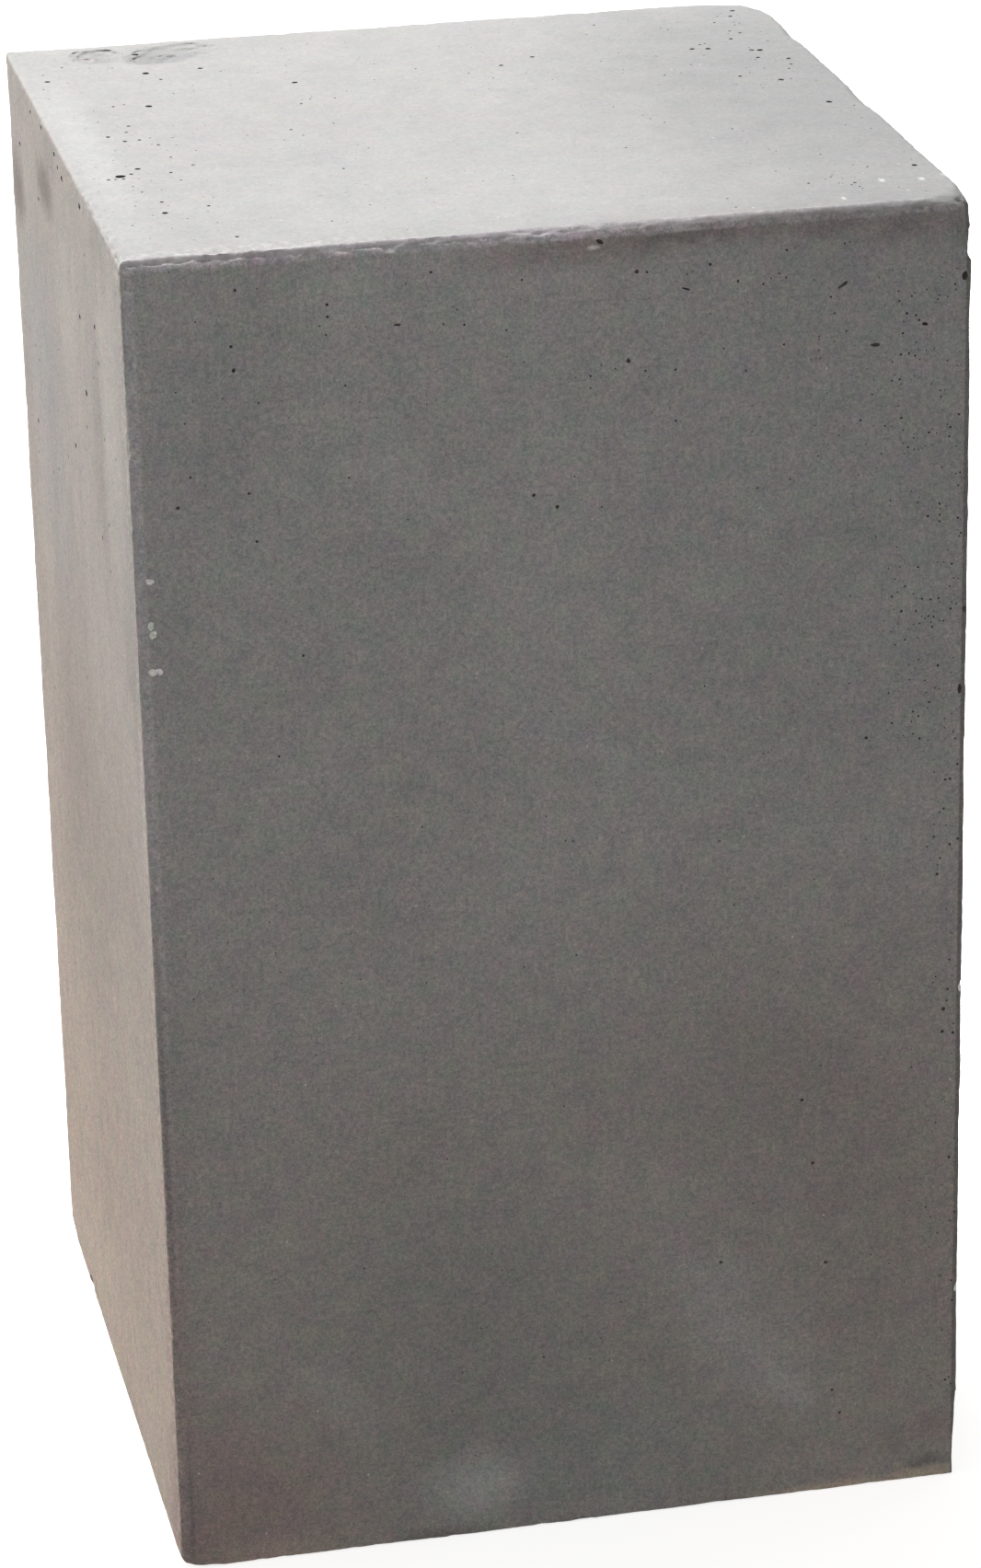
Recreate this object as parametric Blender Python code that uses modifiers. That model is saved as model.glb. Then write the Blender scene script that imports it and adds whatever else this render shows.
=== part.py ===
"""Cast concrete plinth: one solid square block with eased arrises, blowholes and knocks.

Units are metres, +Z is up, the front faces -Y and the origin is the middle of the underside.
"""
import random

import bpy
import bmesh
from mathutils import Matrix, Vector

# The block
WIDTH = 0.300
DEPTH = 0.300
HEIGHT = 0.505

# Roundness that the mould and later handling left on each arris
FRONT_TOP_RADIUS = 0.0050
LEFT_TOP_RADIUS = 0.0016
RIGHT_TOP_RADIUS = 0.0028
BACK_TOP_RADIUS = 0.0030
FRONT_LEFT_RADIUS = 0.0032
FRONT_RIGHT_RADIUS = 0.0024
BACK_LEFT_RADIUS = 0.0050
BACK_RIGHT_RADIUS = 0.0100
FRONT_FOOT_RADIUS = 0.0016
LEFT_FOOT_RADIUS = 0.0032
RIGHT_FOOT_RADIUS = 0.0020
BACK_FOOT_RADIUS = 0.0040
ARRIS_SEGMENTS = 5

# Flaws: places are shares of a face, across from its left arris and down from its top arris
# (on the top face: back from its front arris). Sizes are across, down and deep.
FRONT_BLOWHOLES = [
    ((0.125, 0.081), 0.0017), ((0.123, 0.064), 0.0014), ((0.130, 0.025), 0.0014),
    ((0.235, 0.040), 0.0014), ((0.356, 0.023), 0.0014), ((0.597, 0.034), 0.0016),
    ((0.684, 0.033), 0.0014), ((0.586, 0.097), 0.0016), ((0.471, 0.188), 0.0015),
    ((0.499, 0.198), 0.0015), ((0.054, 0.175), 0.0014), ((0.144, 0.204), 0.0014),
    ((0.874, 0.392), 0.0014), ((0.795, 0.672), 0.0016), ((0.809, 0.724), 0.0015),
    ((0.974, 0.629), 0.0014), ((0.845, 0.935), 0.0014),
]
TOP_BLOWHOLES = [
    ((0.158, 0.835), 0.0032), ((0.229, 0.842), 0.0021), ((0.032, 0.827), 0.0026),
    ((0.137, 0.673), 0.0026), ((0.332, 0.738), 0.0022), ((0.055, 0.360), 0.0040),
    ((0.082, 0.190), 0.0024), ((0.080, 0.388), 0.0022), ((0.067, 0.542), 0.0020),
    ((0.084, 0.516), 0.0020), ((0.953, 0.946), 0.0022), ((0.925, 0.738), 0.0022),
    ((0.952, 0.462), 0.0028), ((0.600, 0.750), 0.0018), ((0.647, 0.781), 0.0018),
    ((0.972, 0.153), 0.0024),
]
HIDDEN_BLOWHOLES_PER_FACE = 9
HIDDEN_BLOWHOLE_RANGE = (0.0018, 0.0032)
BLOWHOLE_DEPTH_SHARE = 0.6

SLOTS = {
    "front_slot_long": ("front", (0.843, 0.055), (0.0042, 0.0014, 0.0010), -0.6),
    "front_slot_middle": ("front", (0.882, 0.100), (0.0036, 0.0014, 0.0010), 0.0),
    "front_slot_right": ("front", (0.942, 0.088), (0.0028, 0.0014, 0.0010), 0.25),
    "front_slot_top": ("front", (0.655, 0.049), (0.0028, 0.0012, 0.0009), 0.35),
    "front_slot_left": ("front", (0.316, 0.058), (0.0026, 0.0012, 0.0009), 0.0),
    "front_slot_upright": ("front", (0.988, 0.361), (0.0016, 0.0044, 0.0012), 0.0),
    "left_pit_high": ("left", (0.458, 0.0099), (0.0038, 0.0018, 0.0010), 0.0),
    "left_pit_long": ("left", (0.521, 0.0183), (0.0044, 0.0022, 0.0011), 0.0),
    "left_pit_front": ("left", (0.674, 0.0137), (0.0040, 0.0024, 0.0011), 0.0),
    "left_pit_low": ("left", (0.652, 0.1545), (0.0038, 0.0028, 0.0010), 0.0),
}
CHIPS = {
    "front_left_chip_high": ("front", (0.018, 0.226), (0.0030, 0.0022, 0.0010)),
    "front_left_chip_middle": ("front", (0.0175, 0.262), (0.0028, 0.0056, 0.0013)),
    "front_left_chip_low": ("front", (0.0185, 0.292), (0.0048, 0.0028, 0.0013)),
    "front_right_notch": ("front", (0.990, 0.056), (0.0020, 0.0034, 0.0018)),
    "front_top_hole": ("front", (0.554, 0.011), (0.0028, 0.0018, 0.0014)),
    "right_nick_high": ("front", (1.000, 0.033), (0.0036, 0.0150, 0.0110)),
    "right_nick_low": ("front", (1.000, 0.090), (0.0022, 0.0250, 0.0090)),
    "right_nick_foot": ("front", (1.000, 0.970), (0.0034, 0.0420, 0.0120)),
    "back_top_chip": ("back", (0.640, 0.004), (0.0110, 0.0060, 0.0036)),
    "back_right_chip": ("right", (0.985, 0.560), (0.0070, 0.0110, 0.0040)),
    "left_foot_chip": ("left", (0.210, 0.994), (0.0130, 0.0070, 0.0036)),
}
SPALLS = {
    "top_spall_left": ("top", (0.110, 0.918), (0.030, 0.024, 0.0014)),
    "top_spall_right": ("top", (0.210, 0.928), (0.050, 0.032, 0.0016)),
}
CRUMBLE = 0.12
SCATTER_SEED = 7

# Concrete as cast: mid grey, matt
CONCRETE_COLOUR = (0.30, 0.29, 0.28, 1.0)
CONCRETE_ROUGHNESS = 0.9


def clear_scene():
    """Start from an empty scene."""
    for old in list(bpy.data.objects):
        bpy.data.objects.remove(old, do_unlink=True)


def new_collection(name):
    """A collection linked to the scene."""
    collection = bpy.data.collections.new(name)
    bpy.context.scene.collection.children.link(collection)
    return collection


def arris_radii():
    """Radius of each arris, keyed by the sides that meet there (-1, 0 or 1 along x, y and z)."""
    return {
        (0, -1, 1): FRONT_TOP_RADIUS,
        (-1, 0, 1): LEFT_TOP_RADIUS,
        (1, 0, 1): RIGHT_TOP_RADIUS,
        (0, 1, 1): BACK_TOP_RADIUS,
        (-1, -1, 0): FRONT_LEFT_RADIUS,
        (1, -1, 0): FRONT_RIGHT_RADIUS,
        (-1, 1, 0): BACK_LEFT_RADIUS,
        (1, 1, 0): BACK_RIGHT_RADIUS,
        (0, -1, -1): FRONT_FOOT_RADIUS,
        (-1, 0, -1): LEFT_FOOT_RADIUS,
        (1, 0, -1): RIGHT_FOOT_RADIUS,
        (0, 1, -1): BACK_FOOT_RADIUS,
    }


def block_mesh(radii, widest):
    """The sharp block, each of whose edges carries its share of the widest arris."""
    shape = bmesh.new()
    bmesh.ops.create_cube(shape, size=1.0)
    weight = shape.edges.layers.float.new("bevel_weight_edge")
    for edge in shape.edges:
        middle = (edge.verts[0].co + edge.verts[1].co) / 2
        sides = tuple(round(2 * value) for value in middle)
        edge[weight] = radii[sides] / widest
    bmesh.ops.scale(shape, vec=(WIDTH, DEPTH, HEIGHT), verts=shape.verts)
    bmesh.ops.translate(shape, vec=(0, 0, HEIGHT / 2), verts=shape.verts)
    mesh = bpy.data.meshes.new("plinth")
    shape.to_mesh(mesh)
    shape.free()
    return mesh


def face_frame(face, place):
    """Matrix at a place on a face: x across it, y down it (on top: back), z through it."""
    left, right = -WIDTH / 2, WIDTH / 2
    front, back = -DEPTH / 2, DEPTH / 2
    ends = {
        "front": ((left, front), (right, front)),
        "right": ((right, front), (right, back)),
        "back": ((right, back), (left, back)),
        "left": ((left, back), (left, front)),
        "top": ((left, front), (right, front)),
    }
    start = Vector((*ends[face][0], HEIGHT))
    across = Vector((*ends[face][1], HEIGHT)) - start
    down = Vector((0, DEPTH, 0)) if face == "top" else Vector((0, 0, -HEIGHT))
    x_axis = across.normalized()
    y_axis = down.normalized()
    axes = Matrix((x_axis, y_axis, x_axis.cross(y_axis))).transposed()
    return Matrix.Translation(start + place[0] * across + place[1] * down) @ axes.to_4x4()


def add_cutter(cutters, name, face, place, size, turn=0.0, crumble=0.0, rounds=2):
    """A lump centred on a face, which bites its depth into it; crumble roughens it."""
    lump = bmesh.new()
    bmesh.ops.create_icosphere(lump, subdivisions=rounds, radius=1.0)
    draw = random.Random(name)
    for vert in lump.verts:
        vert.co *= 1.0 + crumble * draw.uniform(-1.0, 1.0)
    stretch = Matrix.Diagonal((size[0] / 2, size[1] / 2, size[2], 1.0))
    lump.transform(face_frame(face, place) @ Matrix.Rotation(turn, 4, "Z") @ stretch)
    mesh = bpy.data.meshes.new(name)
    lump.to_mesh(mesh)
    lump.free()
    cutter = bpy.data.objects.new(name, mesh)
    cutter.display_type = "WIRE"
    cutter.hide_render = True
    cutters.objects.link(cutter)


def blowhole_size(across):
    """A bubble caught against the mould leaves a round hole, shallower than half a ball."""
    return (across, across, across * BLOWHOLE_DEPTH_SHARE)


def add_blowholes(cutters):
    """The holes seen on the front and the top, and a plainer scatter on the other sides."""
    for face, holes in (("front", FRONT_BLOWHOLES), ("top", TOP_BLOWHOLES)):
        for number, (place, across) in enumerate(holes):
            add_cutter(cutters, f"{face}_blowhole_{number}", face, place, blowhole_size(across))
    draw = random.Random(SCATTER_SEED)
    for face in ("left", "right", "back"):
        for number in range(HIDDEN_BLOWHOLES_PER_FACE):
            place = ((number + draw.uniform(0.2, 0.8)) / HIDDEN_BLOWHOLES_PER_FACE, draw.uniform(0.05, 0.9))
            size = blowhole_size(draw.uniform(*HIDDEN_BLOWHOLE_RANGE))
            add_cutter(cutters, f"{face}_blowhole_{number}", face, place, size)


def add_knocks(cutters):
    """Slots where bubbles ran together, chips on the arrises and the spalled skin on top."""
    for name, (face, place, size, turn) in SLOTS.items():
        add_cutter(cutters, name, face, place, size, turn=turn)
    for name, (face, place, size) in CHIPS.items():
        add_cutter(cutters, name, face, place, size, crumble=CRUMBLE)
    for name, (face, place, size) in SPALLS.items():
        add_cutter(cutters, name, face, place, size, crumble=CRUMBLE, rounds=3)


def concrete():
    """Matt grey concrete."""
    material = bpy.data.materials.new("concrete")
    material.use_nodes = True
    shader = material.node_tree.nodes["Principled BSDF"]
    shader.inputs["Base Color"].default_value = CONCRETE_COLOUR
    shader.inputs["Roughness"].default_value = CONCRETE_ROUGHNESS
    shader.inputs["Metallic"].default_value = 0.0
    return material


def add_plinth(parts, cutters):
    """The block, its arrises rounded and every flaw cut out of it."""
    radii = arris_radii()
    widest = max(radii.values())
    plinth = bpy.data.objects.new("plinth", block_mesh(radii, widest))
    plinth.data.materials.append(concrete())
    parts.objects.link(plinth)

    rounding = plinth.modifiers.new("arrises", "BEVEL")
    rounding.limit_method = "WEIGHT"
    rounding.width = widest
    rounding.segments = ARRIS_SEGMENTS
    rounding.profile = 0.5

    flaws = plinth.modifiers.new("flaws", "BOOLEAN")
    flaws.operation = "DIFFERENCE"
    flaws.operand_type = "COLLECTION"
    flaws.collection = cutters
    flaws.solver = "EXACT"


clear_scene()
parts_collection = new_collection("plinth")
cutters_collection = new_collection("cutters")
add_blowholes(cutters_collection)
add_knocks(cutters_collection)
add_plinth(parts_collection, cutters_collection)
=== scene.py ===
"""Looks of the cast concrete plinth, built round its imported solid."""
import math
import random

import bmesh
import bpy
from mathutils import Matrix, Vector, noise


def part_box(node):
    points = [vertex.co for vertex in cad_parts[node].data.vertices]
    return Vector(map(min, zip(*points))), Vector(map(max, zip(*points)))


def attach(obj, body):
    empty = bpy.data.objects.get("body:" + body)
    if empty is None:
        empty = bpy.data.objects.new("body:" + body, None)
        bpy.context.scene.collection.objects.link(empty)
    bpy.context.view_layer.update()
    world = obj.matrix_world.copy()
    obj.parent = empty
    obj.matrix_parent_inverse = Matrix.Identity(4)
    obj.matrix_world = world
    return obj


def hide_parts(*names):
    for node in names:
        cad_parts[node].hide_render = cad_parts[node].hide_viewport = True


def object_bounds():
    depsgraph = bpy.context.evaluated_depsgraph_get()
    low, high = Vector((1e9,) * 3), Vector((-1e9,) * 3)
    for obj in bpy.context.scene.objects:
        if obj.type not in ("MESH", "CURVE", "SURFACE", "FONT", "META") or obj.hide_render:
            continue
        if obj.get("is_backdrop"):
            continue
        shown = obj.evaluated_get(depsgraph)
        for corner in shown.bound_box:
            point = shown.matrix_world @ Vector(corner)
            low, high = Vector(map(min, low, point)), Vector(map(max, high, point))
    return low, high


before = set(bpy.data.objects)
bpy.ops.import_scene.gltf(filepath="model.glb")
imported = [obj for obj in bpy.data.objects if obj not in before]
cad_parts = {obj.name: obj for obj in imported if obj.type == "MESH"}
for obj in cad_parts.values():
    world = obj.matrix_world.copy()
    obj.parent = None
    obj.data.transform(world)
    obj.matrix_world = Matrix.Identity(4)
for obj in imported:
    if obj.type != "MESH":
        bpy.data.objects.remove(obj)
cad_low, cad_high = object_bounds()


# The block
# A square plinth cast in one pour of grey concrete, in a smooth box mould, and stood on its foot.
# Its faces are flat. Its arrises came out of the mould crumbly, and handling has worn them off
# to narrow, uneven chamfers, more so at four of the corners.
low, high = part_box("plinth")
centre = (low + high) / 2
half = (high - low) / 2

# How far each arris is worn back along x, y and z, keyed by the sides that meet there (-1, 0 or 1)
ARRIS_WEAR = {
    (0, -1, 1): (0.0, 0.0030, 0.0036),
    (-1, 0, 1): (0.0011, 0.0, 0.0010),
    (1, 0, 1): (0.0022, 0.0, 0.0020),
    (0, 1, 1): (0.0, 0.0026, 0.0024),
    (-1, -1, 0): (0.0040, 0.0013, 0.0),
    (1, -1, 0): (0.0022, 0.0022, 0.0),
    (-1, 1, 0): (0.0044, 0.0044, 0.0),
    (1, 1, 0): (0.0090, 0.0090, 0.0),
    (0, -1, -1): (0.0, 0.0012, 0.0012),
    (-1, 0, -1): (0.0024, 0.0, 0.0024),
    (1, 0, -1): (0.0014, 0.0, 0.0014),
    (0, 1, -1): (0.0, 0.0036, 0.0036),
}
# Spots worn further: place as shares of the half sizes, reach, and how far back along x, y and z
WORN_SPOTS = [
    ((-1.0, -1.0, -1.0), 0.016, (0.0056, 0.0040, 0.0044)),
    ((-1.0, 1.0, -1.0), 0.022, (0.0080, 0.0080, 0.0080)),
    ((1.0, -1.0, 1.0), 0.020, (0.0070, 0.0072, 0.0044)),
    ((1.0, -0.05, 1.0), 0.022, (0.0050, 0.0, 0.0034)),
    ((1.0, 0.62, 1.0), 0.016, (0.0042, 0.0, 0.0030)),
    ((1.0, 1.0, 1.0), 0.026, (0.0110, 0.0110, 0.0034)),
    ((-0.80, -1.0, 1.0), 0.060, (0.0, 0.0036, 0.0040)),
]
# Where the mesh is cut along every arris, from the arris inwards
STRIP_LINES = (0.0007, 0.0015, 0.0023, 0.0031, 0.0038, 0.0045, 0.0053, 0.0065, 0.0085, 0.0110)
STRIP_PITCH = 0.0016
# How flat the worn arrises are, from 0, round, to 1: flattest along the front's top left
FLATNESS = 0.30
FLAT_SPOT = (-0.75, -1.0, 1.0)
FLAT_REACH = 0.20
FLAT_MORE = 0.60
LONG_WAVE = 0.024
SHORT_WAVE = 0.0060
# How uneven the wear is along x, y and z, over each wave
LONG_SWAY = Vector((0.30, 0.55, 0.12))
SHORT_SWAY = Vector((0.10, 0.24, 0.05))
GRIT_WAVE = 0.0021
GRIT_DEPTH = 0.00022
CRUMB_WAVE = 0.0050
CRUMB_DEPTH = 0.0005
CRUMB_START = 0.16
# The arris is more ragged where it is flattest, over this wave and to this depth
RAGGED_WAVE = 0.0034
RAGGED_DEPTH = 0.0017


def corner_of(sides):
    """The point of the box at these shares of its half sizes, measured from its middle."""
    return Vector(side * reach for side, reach in zip(sides, half))


def nearness(point, sides, reach):
    """1 at a spot of the box, falling smoothly to 0 at this reach from it."""
    share = max(0.0, 1.0 - (corner_of(sides) - point).length / reach)
    return math.sin(share * math.pi / 2) ** 1.5


def wear_at(point):
    """How far the block is worn back along each axis near a point, from its arrises and spots."""
    total, weights = [0.0] * 3, [1e-9] * 3
    for sides, wear in ARRIS_WEAR.items():
        gap = corner_of(sides) - point
        away = sum(gap[axis] ** 2 for axis in range(3) if sides[axis])
        weight = 1.0 / (away + 1e-6) ** 2
        for axis in range(3):
            if sides[axis]:
                total[axis] += weight * wear[axis]
                weights[axis] += weight
    worn = Vector(amount / weight for amount, weight in zip(total, weights))
    for sides, reach, spot_wear in WORN_SPOTS:
        share = nearness(point, sides, reach)
        worn += share * Vector(max(0.0, more - now) for more, now in zip(spot_wear, worn))
    sway = LONG_SWAY * noise.noise(point / LONG_WAVE) + SHORT_SWAY * noise.noise(point / SHORT_WAVE)
    return Vector(amount * (1.0 + more) for amount, more in zip(worn, sway))


def arris_distance(point):
    """How far a point on the surface is from the nearest arris."""
    return sorted(half[axis] - abs(point[axis]) for axis in range(3))[1]


def worn_place(point):
    """Where a point of the sharp block lies on the worn one."""
    wear = wear_at(point)
    core = Vector(max(w - r, min(r - w, value)) for value, r, w in zip(point, half, wear))
    outward = Vector(gap / w for gap, w in zip(point - core, wear)).normalized()
    flat = 1.0 / sum(abs(value) for value in outward)
    edge = max(0.0, 1.0 - arris_distance(point) / STRIP_LINES[-1])
    grit = 0.5 + 0.5 * noise.noise(point / GRIT_WAVE)
    crumb = CRUMB_DEPTH * max(0.0, noise.noise(point / CRUMB_WAVE) - CRUMB_START)
    ragged = nearness(point, FLAT_SPOT, FLAT_REACH)
    rounded = 1.0 - (FLATNESS + FLAT_MORE * ragged) * (1.0 - flat)
    crumb += ragged * RAGGED_DEPTH * max(0.0, noise.noise(point / RAGGED_WAVE))
    place = Vector(start + rounded * way * w for start, way, w in zip(core, outward, wear))
    return place - outward * edge * (grit * GRIT_DEPTH + edge * crumb)


def cut_strips(shape):
    """Cuts narrow strips along every arris, which carry its wear."""
    for axis in range(3):
        for side in (-1, 1):
            across = Vector((0, 0, 0))
            across[axis] = side
            for line in STRIP_LINES:
                everything = shape.verts[:] + shape.edges[:] + shape.faces[:]
                plane = across * (half[axis] - line)
                bmesh.ops.bisect_plane(shape, geom=everything, plane_co=plane, plane_no=across)


def divide_strips(shape):
    """Divides the strips along their length, and leaves each face's middle as one flat face."""
    middles = [face for face in shape.faces if face.calc_area() > half.x * half.y]
    bmesh.ops.delete(shape, geom=middles, context="FACES_ONLY")
    for reach in (half.x, half.z):
        length = 2 * (reach - STRIP_LINES[-1])
        long_edges = [edge for edge in shape.edges if abs(edge.calc_length() - length) < 1e-4]
        cuts = round(length / STRIP_PITCH) - 1
        bmesh.ops.subdivide_edges(shape, edges=long_edges, cuts=cuts, use_grid_fill=True)
    rims = [edge for edge in shape.edges if edge.is_boundary]
    bmesh.ops.holes_fill(shape, edges=rims, sides=0)


def worn_block():
    """The block's mesh, with its arrises worn."""
    shape = bmesh.new()
    bmesh.ops.create_cube(shape, size=1.0)
    bmesh.ops.scale(shape, vec=2 * half, verts=shape.verts)
    cut_strips(shape)
    divide_strips(shape)
    for vert in shape.verts:
        vert.co = centre + worn_place(vert.co)
    bmesh.ops.recalc_face_normals(shape, faces=shape.faces)
    mesh = bpy.data.meshes.new("worn_block")
    shape.to_mesh(mesh)
    shape.free()
    return mesh


block = bpy.data.objects.new("cast_block", worn_block())
bpy.context.scene.collection.objects.link(block)
SKIN, HOLE, BROKEN = range(3)
for finish_name in ("skin", "hole", "broken"):
    block.data.materials.append(bpy.data.materials.new(finish_name))


# The knocks
# The cement skin has spalled off in two shallow dishes on top, by the back left corner. Chips
# have gone from the arrises, five of them fresh and pale and made whiter still with painted light,
# and bubbles ran together into slots.
# Places are shares of a face, across from its left arris and down from its top arris (on the
# top face: back from its front arris). Sizes are across, down and deep.
SPALLS = [
    ("top", (0.112, 0.930), (0.021, 0.025, 0.0015), 0.10, SKIN),
    ("top", (0.103, 0.936), (0.012, 0.011, 0.0017), 0.60, SKIN),
    ("top", (0.212, 0.924), (0.040, 0.026, 0.0014), 0.30, SKIN),
    ("top", (0.176, 0.908), (0.021, 0.018, 0.0017), 0.10, SKIN),
    ("top", (0.232, 0.940), (0.022, 0.013, 0.0013), 0.30, SKIN),
    ("top", (0.196, 0.925), (0.014, 0.010, 0.0018), 0.80, SKIN),
]
SPALL_LIFT = 0.50
SPALL_UNEVENNESS = 0.14
SPALL_LUMPS = 0.45
SPALL_ROUNDS = 5
KNOCKS = [
    ("top", (0.160, 0.938), (0.0028, 0.0022, 0.0030), 0.2, HOLE),
    ("front", (0.0180, 0.2262), (0.0030, 0.0022, 0.0010), 0.3, BROKEN),
    ("front", (0.0165, 0.2585), (0.0024, 0.0030, 0.0013), 0.0, BROKEN),
    ("front", (0.0185, 0.2650), (0.0026, 0.0028, 0.0013), 0.4, BROKEN),
    ("front", (0.0150, 0.2925), (0.0026, 0.0026, 0.0013), 0.0, BROKEN),
    ("front", (0.0225, 0.2923), (0.0026, 0.0024, 0.0012), 0.0, BROKEN),
    ("front", (0.9900, 0.0560), (0.0020, 0.0032, 0.0018), 0.2, HOLE),
    ("front", (0.5540, 0.0110), (0.0026, 0.0016, 0.0012), 0.3, HOLE),
    ("front", (0.9950, 0.3010), (0.0016, 0.0026, 0.0012), 0.0, HOLE),
    ("front", (0.9900, 0.3610), (0.0014, 0.0044, 0.0012), 0.0, HOLE),
    ("front", (0.9990, 0.5950), (0.0030, 0.0050, 0.0030), 0.0, BROKEN),
    ("front", (0.9990, 0.8420), (0.0030, 0.0044, 0.0030), 0.0, BROKEN),
    ("front", (1.0000, 0.0330), (0.0036, 0.0150, 0.0110), 0.0, SKIN),
    ("front", (1.0000, 0.0900), (0.0022, 0.0250, 0.0090), 0.0, SKIN),
    ("front", (1.0000, 0.9700), (0.0034, 0.0420, 0.0120), 0.0, SKIN),
    ("back", (0.6400, 0.0040), (0.0110, 0.0060, 0.0036), 0.0, SKIN),
    ("right", (0.9850, 0.5600), (0.0070, 0.0110, 0.0040), 0.0, SKIN),
    ("left", (0.2100, 0.9940), (0.0130, 0.0070, 0.0036), 0.0, SKIN),
    ("front", (0.8430, 0.0550), (0.0042, 0.0011, 0.0010), -0.62, HOLE),
    ("front", (0.8820, 0.1000), (0.0036, 0.0012, 0.0010), 0.0, HOLE),
    ("front", (0.9420, 0.0880), (0.0026, 0.0012, 0.0010), 0.25, HOLE),
    ("front", (0.6550, 0.0490), (0.0028, 0.0009, 0.0008), 0.35, HOLE),
    ("front", (0.3160, 0.0580), (0.0026, 0.0009, 0.0008), 0.0, HOLE),
    ("left", (0.2390, 0.0119), (0.0034, 0.0016, 0.0010), 0.0, HOLE),
    ("left", (0.3420, 0.0075), (0.0036, 0.0018, 0.0010), 0.0, HOLE),
    ("left", (0.1100, 0.0561), (0.0036, 0.0018, 0.0010), 0.0, HOLE),
    ("left", (0.4580, 0.0099), (0.0038, 0.0018, 0.0010), 0.0, HOLE),
    ("left", (0.4850, 0.0156), (0.0030, 0.0016, 0.0009), 0.0, HOLE),
    ("left", (0.5210, 0.0183), (0.0044, 0.0022, 0.0011), 0.0, HOLE),
    ("left", (0.6740, 0.0137), (0.0040, 0.0024, 0.0011), 0.0, HOLE),
    ("left", (0.2790, 0.0720), (0.0036, 0.0016, 0.0010), 0.0, HOLE),
    ("left", (0.6270, 0.1023), (0.0036, 0.0020, 0.0010), 0.0, HOLE),
    ("left", (0.7590, 0.0865), (0.0036, 0.0018, 0.0010), 0.0, HOLE),
    ("left", (0.6520, 0.1545), (0.0038, 0.0028, 0.0010), 0.0, HOLE),
    ("left", (0.1470, 0.2690), (0.0034, 0.0018, 0.0010), 0.0, HOLE),
    ("left", (0.5220, 0.2176), (0.0034, 0.0020, 0.0010), 0.0, HOLE),
]
KNOCK_UNEVENNESS = 0.20
KNOCK_ROUNDS = 3
LUMP_WAVE = 1.1
FINE_LUMP_WAVE = 0.24
# Sets every lump in another part of the noise, so that no two are alike
LUMP_VARIETY = 97.0


def face_frame(face, place):
    """Matrix at a place on a face: x across it, y down it (on top: back), z through it."""
    ends = {
        "front": ((low.x, low.y), (high.x, low.y)),
        "right": ((high.x, low.y), (high.x, high.y)),
        "back": ((high.x, high.y), (low.x, high.y)),
        "left": ((low.x, high.y), (low.x, low.y)),
        "top": ((low.x, low.y), (high.x, low.y)),
    }
    start = Vector((*ends[face][0], high.z))
    across = Vector((*ends[face][1], high.z)) - start
    down = Vector((0, high.y - low.y, 0)) if face == "top" else Vector((0, 0, low.z - high.z))
    x_axis = across.normalized()
    y_axis = down.normalized()
    axes = Matrix((x_axis, y_axis, x_axis.cross(y_axis))).transposed()
    return Matrix.Translation(start + place[0] * across + place[1] * down) @ axes.to_4x4()


def add_lump(shape, face, place, size, turn, finish, rounds=2, unevenness=0.08, lift=0.0, lumps=0.0):
    """An uneven ball to be carved out of a face; lift raises its middle, lumps roughen it finely."""
    lump = bmesh.ops.create_icosphere(shape, subdivisions=rounds, radius=1.0)["verts"]
    frame_here = face_frame(face, place)
    spread = 1.0 / math.sqrt(1.0 - lift ** 2)
    height = size[2] / (1.0 - lift)
    for vert in lump:
        uneven = noise.noise(vert.co / LUMP_WAVE + LUMP_VARIETY * frame_here.translation)
        uneven += lumps * noise.noise(vert.co / FINE_LUMP_WAVE)
        vert.co *= 1.0 + 2.0 * unevenness * uneven
    stretch = Matrix.Diagonal((spread * size[0] / 2, spread * size[1] / 2, height, 1.0))
    raised = Matrix.Translation((0.0, 0.0, lift * height * (1 if face == "top" else -1)))
    matrix = frame_here @ raised @ Matrix.Rotation(turn, 4, "Z") @ stretch
    bmesh.ops.transform(shape, matrix=matrix, verts=lump)
    for side in {side for vert in lump for side in vert.link_faces}:
        side.material_index = finish
    taken.append((frame_here.translation.copy(), max(size) / 2))


def carve(body, shape):
    """Takes every lump out of the body and leaves the result as the body's own mesh."""
    mesh = bpy.data.meshes.new("lumps")
    shape.to_mesh(mesh)
    shape.free()
    lumps = bpy.data.objects.new("lumps", mesh)
    bpy.context.scene.collection.objects.link(lumps)
    cut = body.modifiers.new("cut", "BOOLEAN")
    cut.operation = "DIFFERENCE"
    cut.solver = "MANIFOLD"
    cut.object = lumps
    depsgraph = bpy.context.evaluated_depsgraph_get()
    body.data = bpy.data.meshes.new_from_object(body.evaluated_get(depsgraph))
    body.modifiers.clear()
    bpy.data.objects.remove(lumps)


taken = []
for face, place, size, turn, finish in SPALLS:
    dish = bmesh.new()
    uneven = (SPALL_UNEVENNESS, SPALL_LIFT, SPALL_LUMPS)
    add_lump(dish, face, place, size, turn, finish, SPALL_ROUNDS, *uneven)
    carve(block, dish)
for face, place, size, turn, finish in KNOCKS:
    knock = bmesh.new()
    add_lump(knock, face, place, size, turn, finish, KNOCK_ROUNDS, KNOCK_UNEVENNESS)
    carve(block, knock)


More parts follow.
